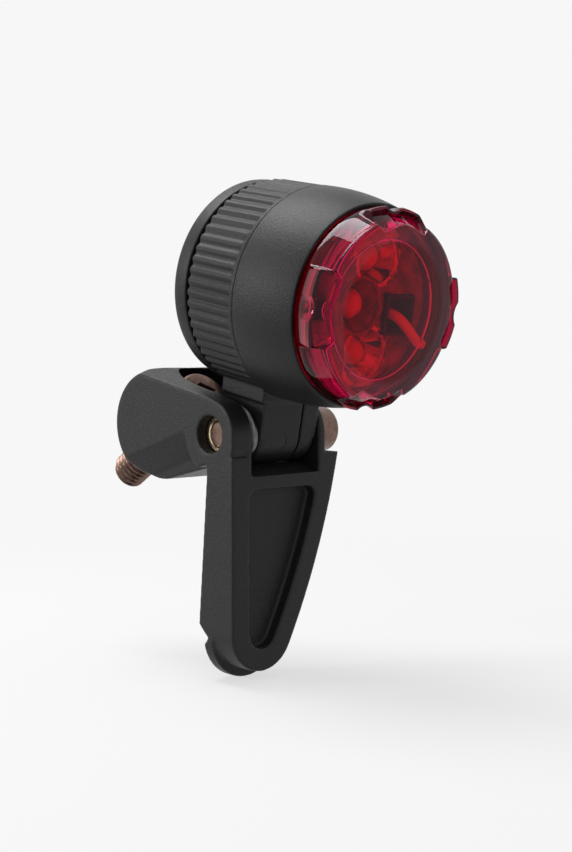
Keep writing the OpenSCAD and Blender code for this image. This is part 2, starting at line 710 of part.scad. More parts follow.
socket_floor = 1;
socket_floor_s = board_front + socket_floor;
module light_socket() color("#241016") at_lamp() difference() {
    forward() translate([socket_at[0], socket_at[1], board_front])
        linear_extrude(reflector_front - board_front) square(socket_w, center = true);
    forward() translate([socket_at[0], socket_at[1], socket_floor_s])
        linear_extrude(reach) square(socket_w - 2 * socket_wall, center = true);
}

// The rod leans out of the socket towards the rim of the lens
guide_set = 0.5;
guide_lean = bowl_r - guide_set;
guide_foot = [socket_at[0], socket_at[1], socket_floor_s];
guide_tip = [socket_at[0] + guide_lean, socket_at[1] - guide_lean, plate_s - gap - guide_r];
guide_knee = [socket_at[0], socket_at[1], reflector_front - guide_r];
module rod(a, b, r) {
    d = b - a;
    translate(a) rotate([0, acos(d[2] / norm(d)), atan2(d[1], d[0])]) cylinder(r = r, h = norm(d));
}
module light_guide() color("#ff2038") at_lamp() forward() {
    rod(guide_foot, guide_knee, guide_r);
    translate(guide_knee) sphere(guide_r);
    rod(guide_knee, guide_tip, guide_r);
    translate(guide_tip) sphere(guide_r);
}

module circuit_board() color("#1d4a2c") at_lamp() difference() {
    along(bore_r - 2 * slip, board_back, board_front);
    for (i = [0:screw_count - 1]) along(screw_r + slip, board_back - over, board_front + over, screw_at(i));
}

module board_screws() color("#c0c0c4") at_lamp() for (i = [0:screw_count - 1]) {
    along(screw_head_r, board_front, board_front + screw_head_h, screw_at(i));
    along(screw_r, board_front - screw_l, board_front + eps, screw_at(i));
}

module battery_tray() color("#3a3a3d") at_lamp() difference() {
    along(bore_r - slip, cap_inside, board_back);
    along(cell_r + 2 * slip, cap_inside + tray_floor, board_back + over);
    for (i = [0:screw_count - 1])
        along(screw_r + slip, board_front - screw_l - screw_tip_room, board_back + over, screw_at(i));
}

module battery_cells() color("#c9cacd") at_lamp() for (i = [0:1]) {
    rim_step = 0.2;
    rim_w = 1.1;
    back = cell_s + i * cell_t;
    turned() {
        ring(0, cell_r, back, back + cell_t - rim_step);
        ring(0, cell_r - rim_w, back, back + cell_t - slip);
    }
}

contact_edge = 2.5;
contact_r = cell_r - contact_edge;
module positive_contact() color("#d8c27a") at_lamp()
    along(contact_r, cap_inside + tray_floor, cell_s);

// A dished spring plate from the board to the front cell
module negative_contact() color("#d8c27a") at_lamp() turned() {
    back = board_back - spring_h;
    hole_r = 2;
    foot_w = 1;
    lean = 0.2;
    polygon([[hole_r, back], [hole_r + foot_w, back], [contact_r - foot_w, board_back - contact_t],
        [contact_r, board_back - contact_t], [contact_r, board_back],
        [contact_r - foot_w - lean, board_back],
        [hole_r + foot_w - lean, back + contact_t], [hole_r, back + contact_t]]);
}

bracket();
mounting_bolt();
bolt_washer();
pivot_screw();
pivot_insert();
hinge_spring_washer();
mount_band();
barrel();
rear_cap();
rear_seal();
front_seal();
lens();
reflector();
leds();
light_socket();
light_guide();
circuit_board();
board_screws();
battery_tray();
battery_cells();
positive_contact();
negative_contact();
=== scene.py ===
"""Bike rear light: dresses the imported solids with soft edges, threads, a clear lens and materials."""
import json
import math

import bmesh
import bpy
from mathutils import Matrix, Vector


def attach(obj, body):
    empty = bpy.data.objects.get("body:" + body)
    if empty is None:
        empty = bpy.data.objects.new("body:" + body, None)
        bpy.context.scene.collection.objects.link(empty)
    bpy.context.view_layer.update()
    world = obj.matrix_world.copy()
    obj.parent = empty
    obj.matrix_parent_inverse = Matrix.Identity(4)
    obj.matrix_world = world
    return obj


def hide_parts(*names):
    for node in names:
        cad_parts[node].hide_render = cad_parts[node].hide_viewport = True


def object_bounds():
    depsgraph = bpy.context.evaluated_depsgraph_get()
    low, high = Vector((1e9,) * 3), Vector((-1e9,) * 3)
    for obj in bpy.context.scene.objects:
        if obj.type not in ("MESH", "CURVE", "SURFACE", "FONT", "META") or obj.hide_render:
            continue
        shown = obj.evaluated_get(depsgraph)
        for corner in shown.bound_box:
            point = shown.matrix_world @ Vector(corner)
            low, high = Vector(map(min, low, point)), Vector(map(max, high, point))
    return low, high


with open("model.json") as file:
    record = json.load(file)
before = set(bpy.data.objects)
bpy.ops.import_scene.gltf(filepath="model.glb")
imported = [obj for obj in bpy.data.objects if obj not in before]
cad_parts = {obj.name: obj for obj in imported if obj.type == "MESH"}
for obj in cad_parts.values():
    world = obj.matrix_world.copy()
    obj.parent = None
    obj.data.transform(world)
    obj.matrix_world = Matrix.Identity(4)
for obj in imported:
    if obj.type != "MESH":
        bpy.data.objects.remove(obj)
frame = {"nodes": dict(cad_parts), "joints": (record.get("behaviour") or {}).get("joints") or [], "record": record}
cad_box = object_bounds()

MM = 0.001
TAU = 2 * math.pi
QUARTER = TAU / 4

# Sizes of the lamp in millimetres: radii, then stations forward of the seam between band and barrel
BODY_R = 16.3
TAIL_R = 13.95
BORE_R = 12.6
RIM_R = 14.95
LENS_SEAT_R = 14.45
LENS_R = 14.4
SKIRT_BORE_R = 13.65
SKIRT_R = 13.6
SKIRT_IN_R = 12.4
FACE_R = 13.1
RECESS_R = 10.0
REFLECTOR_R = 12.0
CAP_R = 15.8
CAP_BACK, CAP_INSIDE, CAP_FRONT = -14.3, -12.8, -11.3
BAND_BACK = -10.4
BARREL_L = 11.0
SKIRT_END, LENS_SEAT, FLANGE = 6.85, 9.7, 10.25
EAR_FOOT, SHOULDER, FACE, APEX = 11.4, 12.0, 16.2, 16.6
PLATE, RECESS_TOP = 12.1, 12.5
PEG_S, PEG_R, PEG_COUNT, TWIST = 8.05, 0.6, 3, 30.0
BOARD_FRONT, REFLECTOR_FRONT, REFLECTOR_FLOOR = -1.6, 9.3, 3.7
LED_H, LED_R, BOWL_H, LED_PITCH = 9.9, 2.3, 4.4, 7.1
SOCKET_AT, SOCKET_W = (6.9, -1.0), 5.8

# Gap between pieces that fit into one another
SLIP = 0.05

# Finger pads of the lens; angles in degrees
PAD_COUNT, PAD_ANGLE, PAD_EDGE = 4, 44.0, 2.2
EAR_R, EAR_W, EAR_TOP, EAR_LIP, EAR_TIP = 14.8, 0.5, 13.6, 0.5, 0.12
EAR_SIDE_R, EAR_SIDE_H = 0.7, 1.5
NOTCH_R, NOTCH_DROP, NOTCH_CORNER = 12.6, 0.6, 17.0
DIP_R, DIP_MID = 2.6, 1.9
SIDE_STEPS = 8

# Bolt stations along its axis, from the seat face, and hinge stations along X from the lamp's middle
BOLT_HEAD_R, BOLT_HEAD, BOLT_NECK, BOLT_TIP = 5.0, -14.6, -8.6, 10.4
BOLT_R, SHANK_R, BOLT_KEY, BOLT_PITCH = 3.0, 2.7, 5.0, 1.0
WASHER_R, WASHER_TOP = 6.0, -7.0
PIVOT_R, PIVOT_HEAD_R, PIVOT_KEY = 2.0, 3.6, 3.0
PIVOT_END, PIVOT_NECK, PIVOT_TOP = -10.55, 7.15, 12.05
INSERT_R, NOTCH_LEFT, NOTCH_RIGHT, NOTCH_DEPTH, KNUCKLE_R = 2.8, -8.4, 5.65, 6.2, 4.8

# Steps round the turned pieces
LENS_SIDES, REFLECTOR_SIDES, BARREL_SIDES, RING_SIDES, BOLT_SIDES = 720, 360, 192, 144, 96
LED_SIDES, PEG_SIDES = 40, 20


def placed(origin, z_axis, x_axis):
    """A matrix from millimetres about an axis to metres in the part's frame."""
    z_axis = Vector(z_axis).normalized()
    x_axis = Vector(x_axis)
    y_axis = z_axis.cross(x_axis)
    turn = Matrix((x_axis, y_axis, z_axis)).transposed().to_4x4()
    return Matrix.Translation(origin) @ turn @ Matrix.Scale(MM, 4)


joints = {joint["name"]: joint for joint in frame["joints"]}
bolt_mount = next(m for m in frame["record"]["mounts"] if m["name"] == "mounting_bolt")
LAMP = placed(joints["lens_twist"]["pos_m"], joints["lens_twist"]["axis"], (1, 0, 0))
PIVOT = placed(joints["lamp_tilt"]["pos_m"], joints["lamp_tilt"]["axis"], (0, 1, 0))
BOLT = placed(bolt_mount["pos_m"], bolt_mount["axis"], (1, 0, 0))
HINGE = placed(joints["lamp_tilt"]["pos_m"], (0, 0, 1), (1, 0, 0))


# Materials

# The stretch that most of a noise's values lie in
NOISE_LOW, NOISE_HIGH = 0.3, 0.7
# Size in millimetres and detail of the slow drift in clear plastics
DRIFT, DRIFT_DETAIL = 6.0, 2.0


def new_material(name):
    """A material with nodes, its tree and its main shader."""
    made = bpy.data.materials.new(name)
    made.use_nodes = True
    return made, made.node_tree, made.node_tree.nodes["Principled BSDF"]


def add(tree, kind, settings=None, **values):
    """A node with its properties and its sockets set; a socket is named with _ for a space."""
    made = tree.nodes.new(kind)
    for key, value in (settings or {}).items():
        setattr(made, key, value)
    for key, value in values.items():
        made.inputs[key.replace("_", " ")].default_value = value
    return made


def grain(tree, size, detail=3.0):
    """Noise whose features are about size millimetres across, in the part's own coordinates."""
    coords = add(tree, "ShaderNodeTexCoord")
    noise = add(tree, "ShaderNodeTexNoise", Scale=1 / (size * MM), Detail=detail, Roughness=0.6)
    tree.links.new(coords.outputs["Object"], noise.inputs["Vector"])
    return noise.outputs["Fac"]


def mapped(tree, value, low, high):
    """Stretches the middle of a noise to a range."""
    span = add(tree, "ShaderNodeMapRange", From_Min=NOISE_LOW, From_Max=NOISE_HIGH, To_Min=low, To_Max=high)
    tree.links.new(value, span.inputs["Value"])
    return span.outputs["Result"]


def tinted(tree, value, first, second):
    """Runs from one colour to another along the middle of a noise, or of a value stretched like one."""
    ramp = add(tree, "ShaderNodeValToRGB")
    ramp.color_ramp.elements[0].position = NOISE_LOW
    ramp.color_ramp.elements[1].position = NOISE_HIGH
    ramp.color_ramp.elements[0].color = (*first, 1)
    ramp.color_ramp.elements[1].color = (*second, 1)
    tree.links.new(value, ramp.inputs["Fac"])
    return ramp.outputs["Color"]


def bumped(tree, shader, height, depth):
    """Raises the surface along a height, by at most depth millimetres."""
    bump = add(tree, "ShaderNodeBump", Strength=1.0, Distance=depth * MM)
    tree.links.new(height, bump.inputs["Height"])
    tree.links.new(bump.outputs["Normal"], shader.inputs["Normal"])


def surface(name, dark, light, rough, grain_size, bump_depth, blotch=4.0, metallic=0.0, specular=0.5):
    """A surface with a fine grain in bump and roughness and a drift in colour over blotches."""
    made, tree, shader = new_material(name)
    shader.inputs["Metallic"].default_value = metallic
    shader.inputs["Specular IOR Level"].default_value = specular
    fine = grain(tree, grain_size)
    broad = grain(tree, blotch, detail=4.0)
    tree.links.new(tinted(tree, broad, dark, light), shader.inputs["Base Color"])
    tree.links.new(mapped(tree, fine, *rough), shader.inputs["Roughness"])
    bumped(tree, shader, fine, bump_depth)
    return made


def from_axis(tree, place):
    """Distance of a surface point from an axis, in metres."""
    coords = add(tree, "ShaderNodeTexCoord")
    away = add(tree, "ShaderNodeVectorMath", {"operation": "SUBTRACT"})
    across = add(tree, "ShaderNodeVectorMath", {"operation": "CROSS_PRODUCT"})
    length = add(tree, "ShaderNodeVectorMath", {"operation": "LENGTH"})
    away.inputs[1].default_value = place.translation
    across.inputs[1].default_value = place.col[2].to_3d().normalized()
    tree.links.new(coords.outputs["Object"], away.inputs[0])
    tree.links.new(away.outputs["Vector"], across.inputs[0])
    tree.links.new(across.outputs["Vector"], length.inputs[0])
    return length.outputs["Value"]


def by_radius(tree, radii, values):
    """A value that changes between two radii about the lamp's axis, in millimetres."""
    inner, outer = radii
    at_inner, at_outer = values
    span = add(tree, "ShaderNodeMapRange", From_Min=inner * MM, From_Max=outer * MM,
               To_Min=at_inner, To_Max=at_outer)
    tree.links.new(from_axis(tree, LAMP), span.inputs["Value"])
    return span.outputs["Result"]


def lens_surface():
    """Clear red plastic: deeper in colour at its side wall, and clearer and less glossy within the ring."""
    wall_radii, gloss_radii, haze_radii = (12.2, 13.6), (9.8, 10.4), (9.9, 10.8)
    face_red, wall_red = (0.92, 0.0035, 0.125), (0.30, 0.001, 0.026)
    middle_gloss, outer_gloss = (0.06, 0.04, 0.06), (0.42, 0.33, 0.40)
    clearness, rough, acrylic_ior = (1.0, 0.95), (0.0, 0.02), 1.49
    made, tree, shader = new_material("red_lens")
    shader.inputs["IOR"].default_value = acrylic_ior
    wall = by_radius(tree, wall_radii, (NOISE_LOW, NOISE_HIGH))
    tree.links.new(tinted(tree, wall, face_red, wall_red), shader.inputs["Base Color"])
    ring = by_radius(tree, gloss_radii, (NOISE_LOW, NOISE_HIGH))
    tree.links.new(tinted(tree, ring, middle_gloss, outer_gloss), shader.inputs["Specular Tint"])
    tree.links.new(by_radius(tree, haze_radii, clearness), shader.inputs["Transmission Weight"])
    tree.links.new(mapped(tree, grain(tree, DRIFT, DRIFT_DETAIL), *rough), shader.inputs["Roughness"])
    return made


def clear_surface(name, dark, light, rough, clear, ior):
    """A clear coloured plastic with a faint drift in colour and polish."""
    made, tree, shader = new_material(name)
    shader.inputs["IOR"].default_value = ior
    shader.inputs["Transmission Weight"].default_value = clear
    broad = grain(tree, DRIFT, DRIFT_DETAIL)
    tree.links.new(tinted(tree, broad, dark, light), shader.inputs["Base Color"])
    tree.links.new(mapped(tree, broad, *rough), shader.inputs["Roughness"])
    return made


MATERIALS = {
    "black_plastic": surface(
        "moulded_black", (0.010, 0.010, 0.0105), (0.021, 0.021, 0.0215), rough=(0.34, 0.50),
        grain_size=0.26, bump_depth=0.07, blotch=0.3, specular=0.22),
    "bronze_steel": surface(
        "bronze_steel", (0.11, 0.065, 0.05), (0.22, 0.145, 0.12), rough=(0.28, 0.42),
        grain_size=0.15, bump_depth=0.006, blotch=1.2, metallic=1.0),
    # Painted shade: this steel is darker than bare steel, so the spring washer looks as dark as the shaded gap
    # between the left cheek and the knuckle
    "bright_steel": surface(
        "bright_steel", (0.10, 0.10, 0.103), (0.20, 0.20, 0.205), rough=(0.26, 0.40),
        grain_size=0.2, bump_depth=0.004, blotch=1.0, metallic=1.0),
    "insert_brass": surface(
        "insert_brass", (0.62, 0.47, 0.27), (0.82, 0.70, 0.48), rough=(0.2, 0.32),
        grain_size=0.2, bump_depth=0.004, blotch=1.0, metallic=1.0),
    "contact_brass": surface(
        "contact_brass", (0.70, 0.55, 0.28), (0.82, 0.68, 0.40), rough=(0.25, 0.35),
        grain_size=0.3, bump_depth=0.004, metallic=1.0),
    "seal_rubber": surface(
        "seal_rubber", (0.008, 0.008, 0.008), (0.014, 0.014, 0.014), rough=(0.6, 0.75),
        grain_size=0.15, bump_depth=0.01, specular=0.3),
    "red_lens": lens_surface(),
    "reflector_plastic": surface(
        "reflector_red", (0.34, 0.03, 0.22), (0.70, 0.08, 0.45), rough=(0.03, 0.08),
        grain_size=0.3, bump_depth=0.002, blotch=2.0, metallic=1.0),
    "led_resin": clear_surface(
        "led_resin", (0.90, 0.01, 0.24), (1.0, 0.02, 0.32), rough=(0.02, 0.05), clear=0.15, ior=1.52),
    "socket_plastic": surface(
        "socket_dark", (0.006, 0.003, 0.004), (0.014, 0.006, 0.008), rough=(0.3, 0.4),
        grain_size=0.3, bump_depth=0.01, specular=0.2),
    "guide_resin": clear_surface(
        "guide_resin", (0.98, 0.10, 0.34), (1.0, 0.16, 0.45), rough=(0.03, 0.06), clear=0.05, ior=1.5),
    "board_laminate": surface(
        "board_green", (0.015, 0.10, 0.04), (0.025, 0.14, 0.06), rough=(0.35, 0.45),
        grain_size=0.5, bump_depth=0.01),
    "tray_plastic": surface(
        "tray_grey", (0.045, 0.045, 0.05), (0.065, 0.065, 0.07), rough=(0.45, 0.55),
        grain_size=0.3, bump_depth=0.015),
    "cell_metal": surface(
        "cell_metal", (0.66, 0.67, 0.68), (0.78, 0.79, 0.80), rough=(0.22, 0.32),
        grain_size=0.3, bump_depth=0.004, metallic=1.0),
}

# The reflector's second material, between its bright bowls
FIELD = surface(
    "reflector_field", (0.06, 0.003, 0.020), (0.34, 0.012, 0.100), rough=(0.06, 0.14),
    grain_size=0.4, bump_depth=0.002, blotch=2.5)


# Mesh helpers

def rounded(points, radius, steps=4):
    """An outline with its corners rounded; a point's own third number replaces the radius."""
    side_share, smallest = 0.45, 1e-4
    made = []
    for i, point in enumerate(points):
        here = Vector(point[:2])
        before = Vector(points[i - 1][:2]) - here
        after = Vector(points[(i + 1) % len(points)][:2]) - here
        own = point[2] if len(point) > 2 else radius
        room = side_share * min(before.length, after.length)
        tangent = min(own / math.tan(before.angle(after) / 2), room) if own else 0
        if tangent < smallest:
            made.append(tuple(here))
            continue
        start = here + before.normalized() * tangent
        end = here + after.normalized() * tangent
        for k in range(steps + 1):
            t = k / steps
            made.append(tuple(start * (1 - t) ** 2 + here * 2 * t * (1 - t) + end * t * t))
    return made


def section(inner, outer, start, end):
    """The (radius, station) corners of a plain ring."""
    return [(inner, start), (outer, start), (outer, end), (inner, end)]


def spread(count, turn=0.0):
    """Angles spread evenly about an axis."""
    return [turn + TAU * i / count for i in range(count)]


def spaced(start, end, count):
    """Evenly spaced values from start to end."""
    return [start + (end - start) * k / (count - 1) for k in range(count)]


def smooth_step(t):
    """Eases from 0 to 1."""
    t = min(max(t, 0.0), 1.0)
    return t * t * (3 - 2 * t)


def wave(x, pitch):
    """A triangle wave between 0 and 1."""
    return abs((x / pitch) % 1 * 2 - 1)


def hex_radius(angle, key):
    """Distance from the middle of a hexagon to its side, at an angle."""
    return key / 2 / math.cos((angle + TAU / 12) % (TAU / 6) - TAU / 12)


def polar(bm, place, profile_of, angles, closed=True):
    """Adds the skin through a profile of (radius, station) points at each angle about an axis."""
    rings = []
    for a in angles:
        ring = []
        for r, s in profile_of(a):
            ring.append(bm.verts.new(place @ Vector((r * math.cos(a), r * math.sin(a), s))))
        rings.append(ring)
    for i, ring in enumerate(rings):
        after = rings[(i + 1) % len(rings)]
        for k in range(len(ring) if closed else len(ring) - 1):
            j = (k + 1) % len(ring)
            bm.faces.new((ring[k], after[k], after[j], ring[j]))


def tube(bm, rings):
    """Joins rings of vertices into a tube with closed ends."""
    for one, two in zip(rings, rings[1:]):
        for k in range(len(one)):
            bm.faces.new((one[k], one[k - 1], two[k - 1], two[k]))
    bm.faces.new(rings[0])
    bm.faces.new(rings[-1])


def piece(name, bm, nodes, sharp=38.0, instead=True):
    """Makes the finished object for the CAD nodes that it replaces, or that it sits on."""
    weld = 1e-7
    bmesh.ops.remove_doubles(bm, verts=bm.verts, dist=weld)
    bmesh.ops.dissolve_degenerate(bm, edges=bm.edges, dist=weld)
    bmesh.ops.recalc_face_normals(bm, faces=bm.faces)
    mesh = bpy.data.meshes.new(name)
    bm.to_mesh(mesh)
    bm.free()
    mesh.polygons.foreach_set("use_smooth", [True] * len(mesh.polygons))
    mesh.set_sharp_from_angle(angle=math.radians(sharp))
    made = bpy.data.objects.new(name, mesh)
    bpy.context.scene.collection.objects.link(made)
    slot = next(s["material_slot"] for s in frame["record"]["subparts"] if s["node"] == nodes[0])
    mesh.materials.append(MATERIALS[slot])
    body = next(b for b, members in frame["record"]["behaviour"]["bodies"].items() if nodes[0] in members)
    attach(made, body)
    if instead:
        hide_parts(*nodes)
    return made


def turned(name, place, outline, nodes, radius=0.15, count=RING_SIDES, closed=True):
    """A turned piece from an outline of (radius, station) points with softened corners."""
    bm = bmesh.new()
    profile = rounded(outline, radius)
    polar(bm, place, lambda a: profile, spread(count), closed)
    return piece(name, bm, nodes)


def soften(node, voxel, passes):
    """Rounds the edges of a moulded CAD node with modifiers, so that its own mesh stays.

    The voxel is in millimetres, and more passes make the edges softer.
    """
    made = frame["nodes"][node]
    remesh = made.modifiers.new("moulded_skin", "REMESH")
    remesh.mode = "VOXEL"
    remesh.voxel_size = voxel * MM
    remesh.use_smooth_shade = True
    soft = made.modifiers.new("soft_edges", "SMOOTH")
    soft.factor = 0.5
    soft.iterations = passes


# Turned plastic and rubber pieces

def make_barrel():
    """The smooth housing in front of the band, with its tail and bayonet pegs."""
    taper_start, steps = 1.0, 14
    corner, rim_corner = 0.12, 0.2
    skirt_room, peg_l, peg_reach = 0.4, 0.9, 0.85
    drop = BODY_R - RIM_R
    bow = ((BARREL_L - taper_start) ** 2 + drop ** 2) / (2 * drop)
    outside = [(BODY_R, 0.0), (BODY_R, taper_start, 0)]
    for i in range(1, steps + 1):
        s = taper_start + (BARREL_L - taper_start) * i / steps
        r = BODY_R - bow + math.sqrt(bow ** 2 - (s - taper_start) ** 2)
        outside.append((r, s, 0 if i < steps else rim_corner))
    ledge, tail = SKIRT_END - skirt_room, CAP_INSIDE + SLIP
    inside = [(LENS_SEAT_R, BARREL_L), (LENS_SEAT_R, LENS_SEAT, 0), (SKIRT_BORE_R, LENS_SEAT),
              (SKIRT_BORE_R, ledge, 0), (BORE_R, ledge), (BORE_R, tail), (TAIL_R, tail), (TAIL_R, 0.0, 0)]
    bm = bmesh.new()
    profile = rounded(outside + inside, corner)
    polar(bm, LAMP, lambda a: profile, spread(BARREL_SIDES))
    peg = section(0, PEG_R, 0, peg_l)
    for a in spread(PEG_COUNT, QUARTER):
        out = Vector((math.cos(a), math.sin(a), 0))
        foot = out * (SKIRT_BORE_R - peg_reach) + Vector((0, 0, PEG_S))
        turn = out.to_track_quat("Z", "Y").to_matrix().to_4x4()
        place = LAMP @ Matrix.Translation(foot) @ turn
        polar(bm, place, lambda angle: peg, spread(PEG_SIDES), closed=False)
    return piece("barrel_shell", bm, ["barrel"])


def make_rear_cap():
    """The cap behind the groove, with a shallow dish in its back."""
    dish_rim, dish_depth, dish_slope = 3, 0.375, 0.1
    dish_corner, dish_edge, back_corner, front_corner, inside_corner = 0.2, 0.25, 0.9, 0.3, 0.12
    dish_r, dish = CAP_R - dish_rim, CAP_BACK + dish_depth
    inside_r = TAIL_R + SLIP
    outline = [(0, dish, 0), (dish_r, dish, dish_corner), (dish_r + dish_slope, CAP_BACK, dish_edge),
               (CAP_R, CAP_BACK, back_corner), (CAP_R, CAP_FRONT, front_corner), (inside_r, CAP_FRONT),
               (inside_r, CAP_INSIDE), (0, CAP_INSIDE, 0)]
    return turned("rear_cap_shell", LAMP, outline, ["rear_cap"], inside_corner, BARREL_SIDES, closed=False)


def make_seals():
    """The rubber rings in the rear groove and under the lens."""
    rear_w, front_l = 0.6, 0.5
    rear_in, front_in = TAIL_R + SLIP, SKIRT_BORE_R + SLIP
    rear = section(rear_in, rear_in + rear_w, CAP_FRONT, BAND_BACK)
    front = section(front_in, LENS_R, LENS_SEAT, LENS_SEAT + front_l)
    turned("rear_seal_ring", LAMP, rear, ["rear_seal"], radius=0.2)
    turned("front_seal_ring", LAMP, front, ["front_seal"], radius=0.15)


# Lens

def pad_offset(angle):
    """Degrees from the middle of the nearest finger pad."""
    pitch = 360 / PAD_COUNT
    return abs((math.degrees(angle) + pitch / 2) % pitch - pitch / 2)


def slot_offset(angle, room, index):
    """Degrees outside the span of a bayonet slot, or zero within it."""
    peg = 90 + 360 * index / PEG_COUNT
    middle, half = peg - TWIST / 2, TWIST / 2 + room
    off = abs((math.degrees(angle) - middle + 180) % 360 - 180)
    return max(off - half, 0)


def circle_reach(mid, radius, offset, default):
    """Where a ray meets the near side of a circle whose middle lies off it by an angle in degrees.

    Where the ray misses the circle, or meets it farther out, the default stands.
    """
    off = mid * math.sin(math.radians(offset))
    if abs(off) >= radius:
        return default
    return min(default, mid * math.cos(math.radians(offset)) - math.sqrt(radius ** 2 - off ** 2))


def face_height(r):
    """Station of the domed face at a radius."""
    rise = APEX - FACE
    dome = (FACE_R ** 2 + rise ** 2) / (2 * rise)
    return APEX - dome + math.sqrt(dome ** 2 - r ** 2)


def face_edge(edge_r, low, soft):
    """The top of a wall, from a low station, and its rounded edge to the face."""
    steps = 5
    top = face_height(edge_r - soft)
    points = [(edge_r, low)]
    for k in range(steps + 1):
        t = QUARTER * k / steps
        points.append((edge_r - soft * (1 - math.cos(t)), top - soft * (1 - math.sin(t))))
    return points


def plain_side():
    """The outside between the finger pads, from the ears' foot up to the face."""
    soft, below_edge, gap, band, edge = 0.8, 0.3, 0.02, 0.2, 0.22
    slope = (LENS_R - FACE_R) / (FACE - SHOULDER)
    top = FACE - soft - below_edge

    def side(s):
        return LENS_R - max(s - SHOULDER, 0) * slope

    stations = spaced(EAR_FOOT, top, SIDE_STEPS) + spaced(top + gap, top + band, SIDE_STEPS)
    return [(side(s), s) for s in stations] + face_edge(side(FACE - soft), top + edge, soft)


def pad_side(offset, sideways):
    """The outside through a finger pad: up the ear, over its lip, and up the notch's leaning wall.

    The offset is in degrees from the pad's middle; sideways is 1 at the left and right, 0 at top and bottom.
    """
    bulge, lip_in, below_face, edge_in, edge_below, soft = 0.7, 0.35, 0.3, 0.05, 0.25, 0.15
    ear_r = EAR_R + EAR_SIDE_R * sideways
    ear_top = EAR_TOP + EAR_SIDE_H * sideways
    ear = circle_reach(ear_r + DIP_MID, DIP_R, offset, ear_r)
    lip = ear - EAR_W
    points = []
    for t in spaced(0, 1, SIDE_STEPS):
        points.append((LENS_R + (ear - LENS_R) * t ** bulge, EAR_FOOT + (ear_top - EAR_TIP - EAR_FOOT) * t))
    points += [(ear - EAR_TIP / 4, ear_top - EAR_TIP / 4), (ear - EAR_TIP, ear_top), (lip + EAR_TIP, ear_top)]
    wall = NOTCH_R - NOTCH_DROP * min(offset / NOTCH_CORNER, 1)
    foot, floor = lip - lip_in, ear_top - EAR_LIP
    for t in (0, 0.1, 0.4, 0.7, 1):
        points.append((foot + (wall - foot) * t, floor + (FACE - below_face - floor) * t))
    return points + face_edge(wall - edge_in, FACE - edge_below, soft)


def lens_face(start):
    """The domed face, from a radius in to the axis."""
    inner = 9.6
    radii = [start + (inner - start) * t for t in (0.3, 0.65, 1)]
    radii += [inner * t for t in (0.85, 0.65, 0.45, 0.25, 0.1, 0)]
    return [(r, face_height(r)) for r in radii]


def lens_inside(angle):
    """The inside from the axis out: the recess, the plate, the slotted skirt and the neck's groove."""
    slot_half, slot_edge, corner, inner = 1.0, 0.9, 0.12, 6
    neck_depth, neck_drop = 0.35, 0.15
    neck, neck_top = LENS_R - neck_depth, EAR_FOOT - neck_drop
    slot_room = math.degrees(math.asin(slot_half / SKIRT_IN_R))
    from_slot = min(slot_offset(angle, slot_room, i) for i in range(PEG_COUNT))
    slot_end = PEG_S + PEG_R + SLIP
    end = SKIRT_END + (slot_end - SKIRT_END) * (1 - smooth_step(from_slot / slot_edge))
    points = [(0, RECESS_TOP), (inner, RECESS_TOP)]
    for back, down in ((0.15, 0), (0.05, 0.03), (0, corner)):
        points.append((RECESS_R - back, RECESS_TOP - down))
    return points + [(RECESS_R, PLATE + corner), (RECESS_R + corner, PLATE), (SKIRT_IN_R, PLATE),
                     (SKIRT_IN_R, end), (SKIRT_R, end), (SKIRT_R, FLANGE), (neck, FLANGE), (neck, neck_top)]


def lens_profile(angle):
    """The lens in section at an angle: the inside from the axis out, then the outside back to it."""
    offset = pad_offset(angle)
    notch = 1 - smooth_step((offset - PAD_ANGLE / 2 + PAD_EDGE) / (2 * PAD_EDGE))
    pairs = zip(plain_side(), pad_side(offset, math.cos(angle) ** 2))
    outside = [(a[0] + (b[0] - a[0]) * notch, a[1] + (b[1] - a[1]) * notch) for a, b in pairs]
    return lens_inside(angle) + outside + lens_face(outside[-1][0])


def make_lens():
    """The clear lens with its finger pads and bayonet skirt."""
    bm = bmesh.new()
    polar(bm, LAMP, lens_profile, spread(LENS_SIDES), closed=False)
    return piece("lens_moulding", bm, ["lens"], sharp=30)


# Light unit behind the lens; places are to the right and up from the lamp's axis

LED_PLACES = [(0.8, LED_PITCH), (-0.8, 0), (0.8, -LED_PITCH)]
# Each bowl's middle and radius, with the middle bowl first
BOWLS = [(-1.0, 0, 4.4), (1.2, LED_PITCH, 4.6), (1.2, -LED_PITCH, 4.6)]
MIDDLE_BOWL = 0


def in_bowl(u, v):
    """A point's share of the way out in its bowl, its turn there and the bowl's number, or nothing."""
    for number, (middle_u, middle_v, size) in enumerate(BOWLS):
        d = math.hypot(u - middle_u, v - middle_v)
        if d < size:
            return d / size, math.atan2(v - middle_v, u - middle_u), number
    return None


def bowl_height(v, out, turn, number):
    """Station in a bowl: a flat step at its rim, then rings in the middle bowl and flutes in the others."""
    step, step_h = 0.86, 0.5
    rings, ring_h = 3, 0.3
    flutes, flute_h, flute_start = 9, 0.25, 3
    if out > step:
        return REFLECTOR_FRONT - step_h
    share = out / step
    if number == MIDDLE_BOWL:
        ripple = ring_h * wave(out, step / rings)
    else:
        flute = flute_h * smooth_step(abs(v) - flute_start)
        ripple = flute * math.cos(flutes * turn) * share ** 2 * (1 - share)
    return REFLECTOR_FRONT - step_h - (BOWL_H - step_h) * (1 - share ** 2) - ripple


def reflector_height(u, v):
    """Station of the reflector's front: three stepped bowls, the socket's well, and rings between."""
    well_room, well_floor = 0.1, 0.4
    facet, facet_h, facet_middle = 5.0, 0.7, 2
    if max(abs(u - SOCKET_AT[0]), abs(v - SOCKET_AT[1])) < SOCKET_W / 2 + well_room:
        return REFLECTOR_FLOOR + well_floor
    bowl = in_bowl(u, v)
    if bowl:
        return bowl_height(v, *bowl)
    return REFLECTOR_FRONT - facet_h * (1 - math.cos(math.hypot(u - facet_middle, v) * TAU / facet)) / 2


